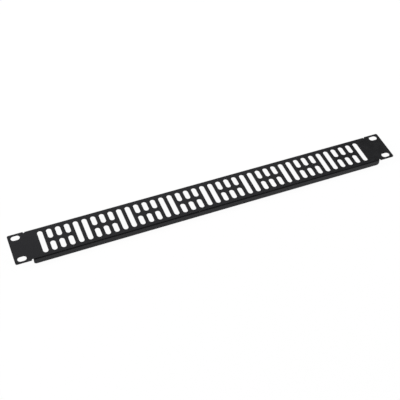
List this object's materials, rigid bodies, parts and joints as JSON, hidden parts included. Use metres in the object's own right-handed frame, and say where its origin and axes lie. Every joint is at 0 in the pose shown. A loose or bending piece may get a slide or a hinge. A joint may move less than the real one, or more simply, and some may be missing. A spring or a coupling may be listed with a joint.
{
  "type": "rack blanking panel",
  "caption": "Vented blanking panel that fills an empty unit of a 19-inch rack: folded sheet steel with slotted ears, two flanges and rows of upright ventilation slots.",
  "frame": {"origin": "under the middle of the face, on the plane of the lower flange tip", "axes": "+X along the panel, +Y across its height in the rack, +Z out of its face"},
  "size_m": [0.4826, 0.0436, 0.008],
  "materials": {
    "black_powder_coat": "satin, fine-textured powder coat"
  },
  "bodies": {
    "root": {"blanking_panel": "black_powder_coat"}
  },
  "joints": []
}
